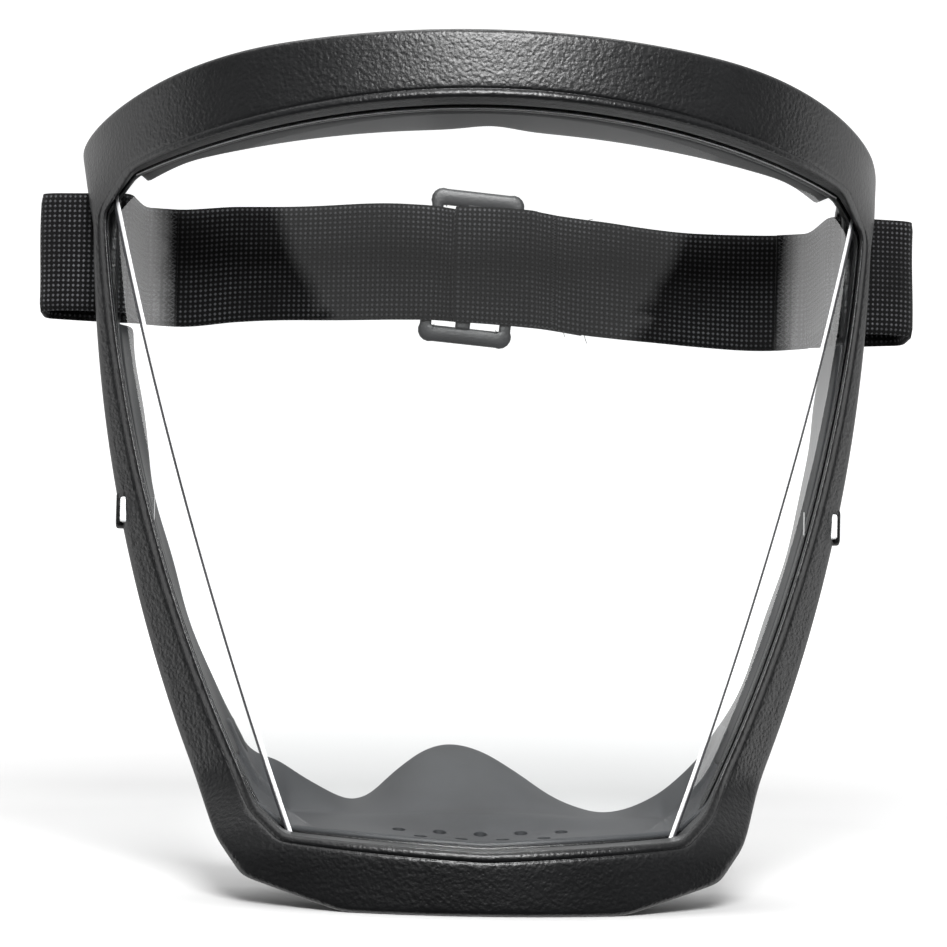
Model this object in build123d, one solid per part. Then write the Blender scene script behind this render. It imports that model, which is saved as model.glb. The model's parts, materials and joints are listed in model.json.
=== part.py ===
from build123d import *
import os
from math import asin, degrees, radians, sin, sqrt

# Face shield. A moulded frame holds a faceted clear lens. A soft seal and a chin cup stand
# behind it, and an elastic strap runs from lug to lug through a tri-glide slider.
# Millimetres. X is across the face, Y runs back towards the head, Z is up. The chin stands
# on Z = 0. Depths are measured from the front of the brow, and the finished part is moved
# forward by half of its depth, so that the origin is the middle of its foot.

# ---- shield, front view ----
shield_height = 238.0
temple_half_width = 121.5      # widest place of the frame, at the ends of the brow
temple_drop = 22.0             # from the brow's top down to the temple's corner
temple_side = 26.0             # side of the temple, from there down to the rail
temple_tuck = 6.5              # how far the temple comes in over that side
brow_flat_half = 60.0          # half of the nearly flat stretch of the brow's top edge
brow_crown_drop = 3.0          # how far the top edge falls over that stretch
rail_mid_inset = 18.8          # how far the rail has come in at rail_mid_height
rail_mid_height = 100.0
jaw_inset = 48.5               # how far it has come in where it meets the chin
jaw_height = 18.0
chin_corner_inset = 7.8        # from there in to the lower corner of the chin's side facet
chin_corner_height = 7.8
chin_facet_run = 27.0          # from that corner in to the flat that the shield stands on

# ---- brow and chin, plan view ----
brow_radius = 150.0            # radius of the brow's front
brow_front_half = 75.0         # half-width of that radius, before the temples turn back
temple_heading = 80.0          # degrees that the brow has turned by at its ends
brow_band_height = 19.2        # at the middle
brow_lip_drop = 15.0           # how far the lower lip falls towards its ends
brow_lip_inset = 19.5          # from the temple in to the end of the lower lip
lip_corner_drop = 10.2         # the window's upper corner, from the lip down to the rail
brow_band_depth = 17.0
chin_radius = 150.0
chin_bar_height = 13.5         # front face of the chin
chin_bar_depth = 18.0

# ---- lens ----
lens_setback = 12.0            # lens behind the brow's front, at the middle
lens_radius = 125.0            # middle panel, at its middle
crease_foot_inset = 19.6       # creases' feet, in from the jaw, at crease_foot_height
crease_foot_height = 19.8
crease_lean = 0.312            # widening of the creases for each mm of height
crease_bow = 3.0               # how far the creases bow outwards at their middle
crease_half_height = 88.0      # half of the creases' height
side_slope_foot = 0.75         # side panels: mm back for each mm out, at the creases' foot
side_slope_gain = 0.0012       # gain of that slope for each mm of height
lens_thickness = 2.0
lens_bite = 3.0                # how far the lens reaches into the frame's groove
groove_clearance = 0.15

# ---- rails ----
rail_face_top = 12.0           # from the rail's outer edge in to the window, at its top,
rail_face_mid = 10.3            # at rail_mid_height
rail_face_foot = 11.0           # and where it meets the chin
window_jaw_rise = 9.0          # window's lower corner, above the jaw
frame_front = 3.8              # frame in front of the lens
frame_back = 8.0               # frame behind the lens's front
window_foot_height = 17.0      # lower edge of the window, at the middle

# ---- snap tabs of the lens, in bosses on the rails ----
tab_height = 8.0
tab_centre_height = 107.0
tab_clearance = 0.3
boss_radius = 6.5
boss_proud = 2.6

# ---- seal and chin cup ----
seal_wall = 2.4
seal_brow_depth = 52.0         # rear edge of the seal at the middle of the brow
seal_brow_radius = 430.0       # plan radius of that edge, for the forehead
seal_side_depth = 10.0         # seal behind the frame at the rails
relief_gap = 1.0               # seal's ends above and below the strap lugs
cup_wall = 2.6
cup_front_height = 17.4        # top of the cup's floor at the lens
cup_floor_slope = 0.11         # rise of the floor for each mm back
cup_ridge_depth = 44.0         # where the floor turns up into the tongue
cup_tongue_slope = 0.42
cup_tongue_height = 36.0
cup_valley_height = 23.0       # top of the cup beside the tongue
cup_valley_half = 37.0
cup_side_height = 44.0         # top of the cup at its sides
cup_side_depth = 58.0          # rear edge of the cup beside the tongue
cup_seat_gap = 0.3             # under the cup's floor, at its front
cup_seat_depth = 3.5           # front of the cup, behind the front of the lens
cup_bite = 2.0                 # how far the cup's edge reaches into the frame
foot_depth = 62.0              # foot under the tongue, behind the brow's front
foot_half_width = 24.0
vent_radius = 1.8
vent_pitch = 11.3
vent_first_row = 18.5          # depth of the front row's centres
vent_row_pitch = 9.0
vents_in_front_row = 4
vents_in_rear_row = 5

# ---- strap ----
strap_width = 35.5
strap_thickness = 1.4
strap_drop = 32.0              # middle of the strap, below the temple's corner
strap_run_back = 18.0          # back run behind the lugs' slots
layer_gap = 0.1                # between layers of webbing that lie on each other
lug_inset = 3.5                # outside of the lugs, in from the rail's outer edge
lug_thickness = 3.2
lug_root = 10.0                # how far the lug reaches forward into the rail
lug_margin = 3.6               # lug above and below its slot
lug_post = 4.6                 # post behind the slot
slot_behind_rail = 7.2         # middle of the slot, behind the rail's back
slot_room = 3.0                # slot's width beyond the webbing's thickness
slot_clearance = 1.2           # above and below the webbing
loop_reach = 20.5              # outermost run of the loop, outside the lug
loop_mouth = 4.0               # straight run of the loop outside the slot
loop_step = 6.0                # how far back its outer leg then runs
loop_inner_clearance = 2.2     # loop's inner leg from the lug's inside
run_inset = 9.0                # where the loop becomes the back run, in from the lug
sewn_length = 10.0             # loop's inner end lying on the back run
tack_width = 6.0
tack_inset = 0.5               # stitching from the webbing's cut end
thread_margin = 1.0            # and from its edges
thread_proud = 0.35

# ---- slider ----
slider_width = 32.0
slider_bridge = 5.0            # top and bottom bars
slider_thickness = 2.4
slider_offset = -2.2           # its middle, from the middle of the strap
slider_side_bar = 3.6
centre_bar_width = 5.0
centre_bar_offset = -0.8       # its middle, from the middle of the slider
fold_gap = 1.1                 # fold of the webbing from the centre bar
crossing_gap = 6.0             # other webbing's way through the slot, beside the fold
flap_lead = 1.0                # straight run of the fold past the slider
flap_step = 4.0                # run over which it comes down to the webbing behind
merge_run = 12.0               # run over which the webbing behind comes forward again
slider_corner = 4.0
slider_slot_clearance = 1.0    # above and below the webbing
slider_strap_gap = 0.3
flap_past_slider = 11.0        # sewn end of the webbing, past the slider
tail_past_slider = 19.0        # free end of the webbing, past the slider
follow_length = 30.0           # webbing beside the slider that follows it
seam_width = 1.6

# ---- worked out ----
temple_height = shield_height - temple_drop
lip_height = shield_height - brow_band_height
rail_mid_half_width = temple_half_width - rail_mid_inset
jaw_half_width = temple_half_width - jaw_inset
chin_corner_half = jaw_half_width - chin_corner_inset
chin_flat_half = chin_corner_half - chin_facet_run
crease_foot_half = jaw_half_width - crease_foot_inset
brow_lip_half = temple_half_width - brow_lip_inset
brow_turn = degrees(asin(brow_front_half / brow_radius))
temple_radius = (temple_half_width - brow_front_half) / (
    sin(radians(temple_heading)) - sin(radians(brow_turn))
)
over_top = shield_height + 40
far_back = 400.0
side_reach = 70.0              # side panels, drawn well past the rails

strap_centre_height = temple_height - strap_drop
strap_low = strap_centre_height - strap_width / 2
slot_width = strap_thickness + slot_room
layer = strap_thickness + layer_gap

slider_height = strap_width + 2 * (slider_slot_clearance + slider_bridge)
slider_left = slider_offset - slider_width / 2
slider_right = slider_offset + slider_width / 2
bar_left = slider_offset + centre_bar_offset - centre_bar_width / 2
bar_right = bar_left + centre_bar_width
fold_at = bar_left - fold_gap - strap_thickness / 2
follow_left = slider_left - follow_length
follow_right = slider_right + follow_length


def both_sides(solid):
    return [solid, mirror(solid, about=Plane.YZ)]


def front_face(half):
    """A face in the X-Z plane from the outline of its right half."""
    edges = half + [mirror(e, about=Plane.YZ) for e in half]
    return make_face(edges)


def front_prism(face, start=-20.0, end=far_back):
    """Extrude a front-view face along Y between two depths."""
    plane = Plane(origin=(0, start, 0), x_dir=(1, 0, 0), z_dir=(0, -1, 0))
    return extrude(plane * face, amount=end - start, dir=(0, 1, 0))


def rail_edge():
    """Outer edge of the rail, from the temple down to the jaw."""
    return ThreePointArc(
        (temple_half_width - temple_tuck, temple_height - temple_side),
        (rail_mid_half_width, rail_mid_height),
        (jaw_half_width, jaw_height),
    )


def rail_outside(height):
    """Half-width of the rail's outer edge at a height."""
    rail = rail_edge()
    centre = rail.arc_center
    return centre.X + sqrt(rail.radius**2 - (height - centre.Y) ** 2)


def shield_outline():
    crown = TangentArc(
        (0, shield_height), (brow_flat_half, shield_height - brow_crown_drop), tangent=(1, 0)
    )
    corner = TangentArc(crown @ 1, (temple_half_width, temple_height), tangent=crown % 1)
    rail_top = (temple_half_width - temple_tuck, temple_height - temple_side)
    temple = Line(corner @ 1, rail_top)
    chin = Polyline(
        (jaw_half_width, jaw_height),
        (chin_corner_half, chin_corner_height),
        (chin_flat_half, 0),
        (0, 0),
    )
    return front_face([crown, corner, temple, rail_edge(), *chin.edges()])


def window_outline():
    lip_end = (brow_lip_half, lip_height - brow_lip_drop)
    rail_top = (temple_half_width - rail_face_top, lip_end[1] - lip_corner_drop)
    rail_foot = (jaw_half_width - rail_face_foot, jaw_height + window_jaw_rise)
    lip = TangentArc((0, lip_height), lip_end, tangent=(1, 0))
    corner = Line(lip_end, rail_top)
    rail_mid = (rail_mid_half_width - rail_face_mid, rail_mid_height)
    rail = ThreePointArc(rail_top, rail_mid, rail_foot)
    foot = Polyline(rail_foot, (crease_foot_half, crease_foot_height), (0, window_foot_height))
    return front_face([lip, corner, rail, *foot.edges()])


def crease_half(height):
    middle = crease_foot_height + crease_half_height
    bow = crease_bow * (1 - ((height - middle) / crease_half_height) ** 2)
    return crease_foot_half + crease_lean * (height - crease_foot_height) + bow


def crease_depth(height):
    return lens_setback + crease_half(height) ** 2 / (2 * lens_radius)


def side_slope(height):
    return side_slope_foot + side_slope_gain * (height - crease_foot_height)


def side_depth(across, height):
    """Depth of the front of the lens's side panel."""
    return crease_depth(height) + side_slope(height) * (across - crease_half(height))


def lens_body():
    """Everything behind the front of the lens, drawn past it on every side."""
    sections = []
    for height in (-30.0, crease_foot_height, rail_mid_height, 180.0, over_top):
        half, depth = crease_half(height), crease_depth(height)
        end = (half + side_reach, depth + side_slope(height) * side_reach)
        edges = [
            ThreePointArc((-half, depth), (0, lens_setback), (half, depth)),
            *Polyline((half, depth), end, (end[0], far_back), (-end[0], far_back)).edges(),
            *Polyline((-end[0], far_back), (-end[0], end[1]), (-half, depth)).edges(),
        ]
        sections.append(Pos(0, 0, height) * make_face(edges))
    return loft(sections)


def behind_lens(distance):
    return Pos(0, distance, 0) * LENS_BODY


def between(front, back):
    """The shell from front to back, both measured behind the front of the lens."""
    return behind_lens(front) - behind_lens(back)


def brow_body(inset):
    """Everything behind the brow's plan curve, moved in by inset."""
    front = JernArc((0, inset), (1, 0), brow_radius - inset, brow_turn)
    temple = JernArc(front @ 1, front % 1, temple_radius - inset, temple_heading - brow_turn)
    end = temple @ 1
    side = Polyline(end, (end.X, far_back), (0, far_back))
    half = [front, temple, *side.edges()]
    face = make_face(half + [mirror(e, about=Plane.YZ) for e in half])
    return extrude(Pos(0, 0, -10) * face, amount=over_top)


def chin_strip():
    """The chin bar's plan shape, as deep as the bar."""
    solids = [
        Pos(0, chin_radius + inset, -10) * Cylinder(
            chin_radius, over_top, align=(Align.CENTER, Align.CENTER, Align.MIN)
        )
        for inset in (0, chin_bar_depth)
    ]
    return solids[0] - solids[1]


def slab(low, high):
    """A block as wide as the tools need, between two heights."""
    size = 2 * far_back
    return Pos(0, 0, (low + high) / 2) * Box(size, size, high - low)


def chin_bevel():
    """What is cut away above the chin's front lip, down to the foot of the window."""
    profile = Plane.YZ * make_face(
        Polyline(
            (-20, chin_bar_height),
            (0, chin_bar_height),
            (lens_setback, window_foot_height),
            (lens_setback, over_top),
            (-20, over_top),
            close=True,
        )
    )
    cut = extrude(profile, amount=crease_foot_half, both=True)
    return cut & slab(0, temple_height / 2)


def cup_profile():
    """The cup's floor and tongue from the side, as wide as the tools need."""
    ridge = cup_front_height + cup_floor_slope * (cup_ridge_depth - lens_setback)
    run = (cup_tongue_height + 4 - ridge) / cup_tongue_slope
    top = [
        (0, cup_front_height - cup_floor_slope * lens_setback),
        (cup_ridge_depth, ridge),
        (cup_ridge_depth + run, ridge + run * cup_tongue_slope),
    ]
    low = [(y, z - cup_wall) for y, z in reversed(top)]
    face = make_face(Polyline(*top, *low, close=True))
    return extrude(Plane.YZ * face, amount=temple_half_width, both=True)


def cup_outline():
    """The wavy top of the cup, seen from the front, with everything below it."""
    wave = Spline(
        (-jaw_half_width, cup_side_height),
        (-cup_valley_half, cup_valley_height),
        (0, cup_tongue_height),
        (cup_valley_half, cup_valley_height),
        (jaw_half_width, cup_side_height),
    )
    rest = Polyline(wave @ 1, (jaw_half_width, -20), (-jaw_half_width, -20), wave @ 0)
    return make_face([wave, *rest.edges()])


def vents():
    holes = []
    for row, count in ((0, vents_in_front_row), (1, vents_in_rear_row)):
        depth = vent_first_row + row * vent_row_pitch
        for n in range(count):
            across = (n - (count - 1) / 2) * vent_pitch
            holes.append(Pos(across, depth, cup_front_height) * Cylinder(vent_radius, 30))
    return holes


def cup():
    opening = front_prism(WINDOW) + cup_seat()
    floor = cup_profile() & front_prism(cup_outline()) & opening
    floor = floor & behind_lens(cup_seat_depth)
    wide = temple_half_width - cup_valley_half
    wing = Pos(cup_valley_half + wide / 2, cup_side_depth + far_back / 2, 0)
    wing = wing * Box(wide, far_back, 4 * cup_side_height)
    for solid in both_sides(wing):
        floor = floor - solid
    foot_top = cup_front_height + cup_floor_slope * (cup_ridge_depth - lens_setback)
    foot_top += cup_tongue_slope * (foot_depth - cup_ridge_depth) - cup_wall / 2
    foot = Pos(0, foot_depth - cup_wall / 2, foot_top / 2)
    foot = foot * Box(2 * foot_half_width, cup_wall, foot_top)
    return floor + foot - vents()


def cup_seat():
    """The step in the back of the frame that the cup's edge sits in."""
    low = cup_front_height - cup_wall - cup_seat_gap
    room = between(cup_seat_depth, frame_back) & slab(low, low + cup_side_height)
    return room & front_prism(offset(WINDOW, amount=cup_bite))


def seals():
    """The seal's three lengths: along the brow, and down each cheek below the lugs."""
    wall = offset(WINDOW, amount=seal_wall) - WINDOW
    ring = front_prism(wall) & behind_lens(frame_back) & slab(jaw_height + 10, over_top)
    forehead = Pos(0, seal_brow_depth + seal_brow_radius, 0)
    forehead = forehead * Cylinder(seal_brow_radius, 2 * over_top)
    forehead += Pos(0, seal_brow_depth + seal_brow_radius + far_back, 0) * Box(
        2 * seal_brow_radius, 2 * far_back, 2 * over_top
    )
    ring = ring - (forehead & behind_lens(frame_back + seal_side_depth))
    half_tall = strap_width / 2 + slot_clearance + lug_margin + relief_gap
    relief = slab(strap_centre_height - half_tall, strap_centre_height + half_tall)
    left, brow, right = (ring - relief).solids().sort_by(Axis.X)
    return brow, left, right


def lens():
    outline = offset(WINDOW, amount=lens_bite)
    return front_prism(outline) & between(0, lens_thickness)


def tab_place():
    """Where a snap tab leaves the lens: half-width of the lens's edge, and depth there."""
    edge = rail_outside(tab_centre_height) - rail_face_mid + lens_bite
    return edge, side_depth(edge, tab_centre_height)


def tab():
    edge, depth = tab_place()
    outer = rail_outside(tab_centre_height) + boss_proud
    length = outer - edge + lens_bite
    middle = Pos(outer - length / 2, depth + lens_thickness / 2, tab_centre_height)
    return middle * Box(length, lens_thickness, tab_height)


def tab_slot():
    edge, depth = tab_place()
    outer = rail_outside(tab_centre_height) + 2 * boss_proud
    length = outer - edge + lens_bite
    middle = Pos(outer - length / 2, depth + lens_thickness / 2, tab_centre_height)
    room = 2 * tab_clearance
    return middle * Box(length, lens_thickness + room, tab_height + room)


def boss():
    edge, depth = tab_place()
    outer = rail_outside(tab_centre_height) + boss_proud
    length = outer - edge
    middle = Pos(outer - length / 2, depth + lens_thickness / 2, tab_centre_height)
    return middle * Rot(0, 90, 0) * Cylinder(boss_radius, length)


def lug():
    """One strap lug: a plate behind the temple, with a slot and a post behind it."""
    tall = strap_width + 2 * (slot_clearance + lug_margin)
    back = slot_depth + slot_width / 2 + lug_post
    deep = back - (rail_back - lug_root)
    middle = (lug_outside - lug_thickness / 2, back - deep / 2, strap_centre_height)
    plate = Pos(*middle) * Box(lug_thickness, deep, tall)
    plate = fillet(plate.edges().filter_by(Axis.X).group_by(Axis.Y)[-1], lug_margin)
    slot = Pos(middle[0], slot_depth, strap_centre_height)
    slot = slot * Box(4 * lug_thickness, slot_width, strap_width + 2 * slot_clearance)
    return plate, slot


def frame():
    ring = front_prism(OUTLINE) - front_prism(WINDOW)
    rails = ring & between(-frame_front, frame_back)
    brow = ring & (brow_body(0) - brow_body(brow_band_depth)) - behind_lens(frame_back)
    brow = brow & slab(lip_height - brow_lip_drop - lip_corner_drop, over_top)
    chin = ring & chin_strip() & slab(-10, jaw_height)
    whole = rails + brow + chin
    plate, slot = lug()
    for solid in both_sides(plate) + both_sides(boss()):
        whole = whole + solid
    for cut in both_sides(slot) + both_sides(tab_slot()):
        whole = whole - cut
    groove = front_prism(offset(WINDOW, amount=lens_bite + groove_clearance))
    groove = groove & between(-groove_clearance, lens_thickness + groove_clearance)
    return whole - groove - chin_bevel() - cup_seat()


def ribbon(points, radii):
    """Webbing along a plan route, standing on its edge at the strap's height."""
    route = FilletPolyline(*points, radius=radii) if radii else Polyline(*points)
    face = trace(route, line_width=strap_thickness)
    return extrude(Pos(0, 0, strap_low) * face, amount=strap_width)


def loop(side):
    """Webbing round one lug: sewn inner end, slot, outer turn and back run."""
    inner = lug_outside - lug_thickness - loop_inner_clearance
    outer = lug_outside + loop_reach
    points = [
        (run_end - sewn_length, strap_depth - layer),
        (run_end, strap_depth - layer),
        (inner, slot_depth),
        (lug_outside + loop_mouth, slot_depth),
        (outer, slot_depth + loop_step),
        (outer, strap_depth),
        (run_end, strap_depth),
    ]
    return ribbon([(side * x, y) for x, y in points], [2.6, 2.2, 6.0, 4.0, 6.0])


def left_end():
    """The webbing that passes through the slider and ends in a free tail."""
    points = [
        (follow_left, strap_depth),
        (fold_at - crossing_gap, strap_depth),
        (fold_at, tail_depth),
        (slider_right + tail_past_slider, tail_depth),
    ]
    return ribbon(points, [2.0, 2.0])


def right_end():
    """The webbing behind the slider, on its way to the fold."""
    clear = slider_right + flap_past_slider + crossing_gap / 2
    points = [
        (bar_right, behind_plate),
        (clear, behind_plate),
        (clear + merge_run, strap_depth),
        (follow_right, strap_depth),
    ]
    return ribbon(points, [5.0, 5.0])


def folded_end():
    """The webbing folded round the slider's centre bar, as far as its seam."""
    points = [
        (bar_right, behind_plate),
        (fold_at, behind_plate),
        (fold_at, strap_depth),
        (slider_right + flap_lead, strap_depth),
        (slider_right + flap_lead + flap_step, behind_plate - layer),
        (slider_right + flap_past_slider, behind_plate - layer),
    ]
    return ribbon(points, [1.9, 1.9, 2.0, 2.0])


def back_run(side):
    start = run_end if side > 0 else -run_end
    end = follow_right if side > 0 else follow_left
    return ribbon([(start, strap_depth), (end, strap_depth)], None)


def thread_block(across, front, width):
    """Rows of stitching, as the thin block that they fill on the webbing's face."""
    tall = strap_width - 2 * thread_margin
    middle = Pos(across, front - thread_proud / 2, strap_centre_height)
    return middle * Box(width, thread_proud, tall)


def bar_tack(side):
    across = run_end - sewn_length + tack_width / 2 + tack_inset
    face = strap_depth - layer - strap_thickness / 2
    return thread_block(side * across, face, tack_width)


def end_seam():
    across = slider_right + flap_past_slider - seam_width
    face = behind_plate - layer - strap_thickness / 2
    return thread_block(across, face, seam_width)


def slider():
    tall = strap_width + 2 * slider_slot_clearance
    plate = Pos(slider_offset, plate_depth + slider_thickness / 2, strap_centre_height)
    plate = plate * Box(slider_width, slider_thickness, slider_height)
    plate = fillet(plate.edges().filter_by(Axis.Y), slider_corner)
    inner_left, inner_right = slider_left + slider_side_bar, slider_right - slider_side_bar
    for low, high in ((inner_left, bar_left), (bar_right, inner_right)):
        middle = Pos((low + high) / 2, plate_depth, strap_centre_height)
        plate = plate - middle * Box(high - low, 4 * slider_thickness, tall)
    return plate


lug_outside = rail_outside(strap_centre_height) - lug_inset
rail_back = side_depth(lug_outside, strap_centre_height) + frame_back
slot_depth = rail_back + slot_behind_rail
strap_depth = slot_depth + strap_run_back
run_end = lug_outside - run_inset
plate_depth = strap_depth + strap_thickness / 2 + slider_strap_gap
behind_plate = plate_depth + slider_thickness + slider_strap_gap + strap_thickness / 2
tail_depth = behind_plate + layer

OUTLINE = shield_outline()
WINDOW = window_outline()
LENS_BODY = lens_body()

brow_seal, left_cheek_seal, right_cheek_seal = seals()

parts = {
    "outer_frame": frame(),
    "lens": lens() + both_sides(tab()),
    "brow_seal": brow_seal,
    "left_cheek_seal": left_cheek_seal,
    "right_cheek_seal": right_cheek_seal,
    "chin_cup": cup(),
    "left_strap_loop": loop(-1),
    "right_strap_loop": loop(1),
    "left_strap_back": back_run(-1),
    "right_strap_back": back_run(1),
    "left_strap_tail": left_end(),
    "right_strap_end": right_end(),
    "folded_strap_end": folded_end(),
    "strap_slider": slider(),
    "left_bar_tack": bar_tack(-1),
    "right_bar_tack": bar_tack(1),
    "fold_seam": end_seam(),
}

half_depth = (tail_depth + strap_thickness / 2) / 2

os.makedirs("parts", exist_ok=True)
for name, shape in parts.items():
    export_step(Pos(0, -half_depth, 0) * shape, f"parts/{name}.step")
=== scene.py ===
import json
import math
import random

import bpy
from mathutils import Matrix, Vector

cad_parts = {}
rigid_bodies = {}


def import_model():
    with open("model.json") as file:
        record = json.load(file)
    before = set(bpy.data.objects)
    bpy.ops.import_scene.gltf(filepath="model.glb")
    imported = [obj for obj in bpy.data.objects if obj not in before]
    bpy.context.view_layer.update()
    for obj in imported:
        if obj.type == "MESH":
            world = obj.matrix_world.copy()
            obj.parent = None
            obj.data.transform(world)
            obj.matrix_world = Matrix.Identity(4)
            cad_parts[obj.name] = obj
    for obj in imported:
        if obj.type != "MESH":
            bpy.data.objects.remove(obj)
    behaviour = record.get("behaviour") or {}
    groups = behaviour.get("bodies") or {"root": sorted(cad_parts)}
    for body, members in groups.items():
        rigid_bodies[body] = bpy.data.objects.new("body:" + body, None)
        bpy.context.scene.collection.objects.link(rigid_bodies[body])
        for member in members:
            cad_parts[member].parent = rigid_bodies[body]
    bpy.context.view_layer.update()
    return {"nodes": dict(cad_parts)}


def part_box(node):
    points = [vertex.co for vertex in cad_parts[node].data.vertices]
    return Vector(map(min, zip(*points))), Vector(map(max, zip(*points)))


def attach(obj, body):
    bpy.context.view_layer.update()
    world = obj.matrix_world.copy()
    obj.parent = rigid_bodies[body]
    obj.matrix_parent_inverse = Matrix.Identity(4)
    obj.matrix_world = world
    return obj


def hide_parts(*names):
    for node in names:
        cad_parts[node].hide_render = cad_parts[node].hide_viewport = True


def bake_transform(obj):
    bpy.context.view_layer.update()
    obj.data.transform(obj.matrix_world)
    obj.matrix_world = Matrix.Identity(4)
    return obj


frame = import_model()

# Face shield. Everything below is in millimetres until at() puts it in the row's frame:
# x across the face, depth back from the brow's front, z up from the foot.
MM = 0.001
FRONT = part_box("outer_frame")[0].y / MM
STRAP_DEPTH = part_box("left_strap_back")[0].y / MM - FRONT + 0.7
STRAP_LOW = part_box("left_strap_back")[0].z / MM
STRAP_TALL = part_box("left_strap_back")[1].z / MM - STRAP_LOW
STRAP_MIDDLE = STRAP_LOW + STRAP_TALL / 2
SLOT_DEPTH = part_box("left_strap_loop")[0].y / MM - FRONT + 0.7
LOOP_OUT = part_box("right_strap_loop")[1].x / MM
WEB = 1.4
FRAME_PROUD = 3.8
TEMPLE, CROWN_END = (121.5, 216), (60, 235)
RAIL_TOP, RAIL_MIDDLE, JAW = (115, 190), (102.7, 100), (73, 18)
CHIN_CORNER, CHIN_FLAT_END = (65.2, 7.8), (38.2, 0)
LIP_MIDDLE, LIP_END = (0, 218.8), (102, 203.8)
WINDOW_SIDE_TOP, WINDOW_SIDE_MIDDLE = (111.0, 193.6), (92.6, 100)
WINDOW_JAW, WINDOW_CORNER, WINDOW_FLAT_END, WINDOW_FOOT = (62, 27), (53.4, 19.8), (30, 18.57), (0, 17)
LENS_SETBACK = 12.0
BROW_RADIUS = 150.0
BOSS_HEIGHT = 107.0
VENT_RADIUS, VENT_PITCH = 1.8, 11.3
VENT_ROWS = ((4, 18.9), (5, 27.9))
LUG_X = LOOP_OUT - 20.5 - 0.7


def at(x, depth, z):
    return Vector((x * MM, (FRONT + depth) * MM, z * MM))


# ---------------------------------------------------------------- curves and surfaces

def smooth(t):
    t = min(1.0, max(0.0, t))
    return t * t * (3 - 2 * t)


def mix(a, b, t):
    return a + (b - a) * t


def turn_arc(start, heading, end, count=60):
    """Points of the arc that leaves start along heading and ends at end, and its last heading."""
    across, up = end[0] - start[0], end[1] - start[1]
    hx, hz = heading
    half = math.atan2(hx * up - hz * across, hx * across + hz * up)
    chord = math.hypot(across, up)
    points = []
    for n in range(count + 1):
        a = half * n / count
        r = chord * math.sin(a) / math.sin(half)
        points.append((start[0] + r * (hx * math.cos(a) - hz * math.sin(a)),
                       start[1] + r * (hx * math.sin(a) + hz * math.cos(a))))
    a = 2 * half
    return points, (hx * math.cos(a) - hz * math.sin(a), hx * math.sin(a) + hz * math.cos(a))


def arc_through(start, middle, end, count=60):
    (ax, az), (bx, bz), (cx, cz) = start, middle, end
    d = 2 * (ax * (bz - cz) + bx * (cz - az) + cx * (az - bz))
    a2, b2, c2 = ax * ax + az * az, bx * bx + bz * bz, cx * cx + cz * cz
    ux = (a2 * (bz - cz) + b2 * (cz - az) + c2 * (az - bz)) / d
    uz = (a2 * (cx - bx) + b2 * (ax - cx) + c2 * (bx - ax)) / d
    r = math.hypot(ax - ux, az - uz)
    heading = (-(az - uz) / r, (ax - ux) / r)
    if heading[0] * (bx - ax) + heading[1] * (bz - az) < 0:
        heading = (-heading[0], -heading[1])
    return turn_arc(start, heading, end, count)[0]


def even(points, count):
    """The polyline's points, spaced again into count equal steps."""
    total = [0.0]
    for a, b in zip(points, points[1:]):
        total.append(total[-1] + math.dist(a, b))
    found, k = [], 0
    for n in range(count + 1):
        s = total[-1] * n / count
        while k < len(points) - 2 and total[k + 1] < s:
            k += 1
        t = (s - total[k]) / max(1e-9, total[k + 1] - total[k])
        found.append(tuple(mix(a, b, t) for a, b in zip(points[k], points[k + 1])))
    return found


def through(knots, x):
    """A smooth curve through (x, value) knots."""
    if x <= knots[0][0]:
        return knots[0][1]
    if x >= knots[-1][0]:
        return knots[-1][1]
    k = max(n for n in range(len(knots) - 1) if knots[n][0] <= x)
    x0, y0 = knots[k]
    x1, y1 = knots[k + 1]

    def slope(n):
        if n <= 0 or n >= len(knots) - 1:
            return 0.0
        return (knots[n + 1][1] - knots[n - 1][1]) / (knots[n + 1][0] - knots[n - 1][0])

    h, t = x1 - x0, (x - x0) / (x1 - x0)
    a, b = slope(k) * h, slope(k + 1) * h
    return (y0 * (1 + 2 * t) * (1 - t) ** 2 + a * t * (1 - t) ** 2
            + y1 * t * t * (3 - 2 * t) + b * t * t * (t - 1))


def new_object(name, verts, faces, material, body, replaced=(), uvs=None):
    mesh = bpy.data.meshes.new(name)
    mesh.from_pydata([tuple(v) for v in verts], [], faces)
    mesh.validate()
    if uvs:
        layer = mesh.uv_layers.new(name="UVMap")
        for loop in mesh.loops:
            layer.data[loop.index].uv = uvs[loop.vertex_index]
    for polygon in mesh.polygons:
        polygon.use_smooth = True
    obj = bpy.data.objects.new(name, mesh)
    bpy.context.scene.collection.objects.link(obj)
    obj.data.materials.append(material)
    if body:
        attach(obj, body)
    if replaced:
        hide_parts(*replaced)
    return obj


def grid_faces(rows, columns, close_rows=False, close_columns=False, start=0):
    faces = []
    for r in range(rows if close_rows else rows - 1):
        for c in range(columns if close_columns else columns - 1):
            a, b = r * columns, ((r + 1) % rows) * columns
            d = (c + 1) % columns
            faces.append((start + a + c, start + a + d, start + b + d, start + b + c))
    return faces


def end_caps(start, count, rows):
    """The two faces that close a tube of rows rings, each of count points."""
    last = start + (rows - 1) * count
    return [tuple(start + n for n in range(count)), tuple(last + n for n in reversed(range(count)))]


def side_name(side):
    return "right" if side > 0 else "left"


def outward(obj):
    """Turn the faces outwards."""
    import bmesh
    bm = bmesh.new()
    bm.from_mesh(obj.data)
    bmesh.ops.recalc_face_normals(bm, faces=bm.faces)
    bm.to_mesh(obj.data)
    bm.free()
    return obj


def subdivide(obj, levels):
    m = obj.modifiers.new("smooth", "SUBSURF")
    m.levels = m.render_levels = levels
    return obj


# ---------------------------------------------------------------- the shield's own shape

def crease_half(z):
    return 53.4 + 0.312 * (z - 19.8) + 3.0 * (1 - ((z - 107.8) / 88.0) ** 2)


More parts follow.
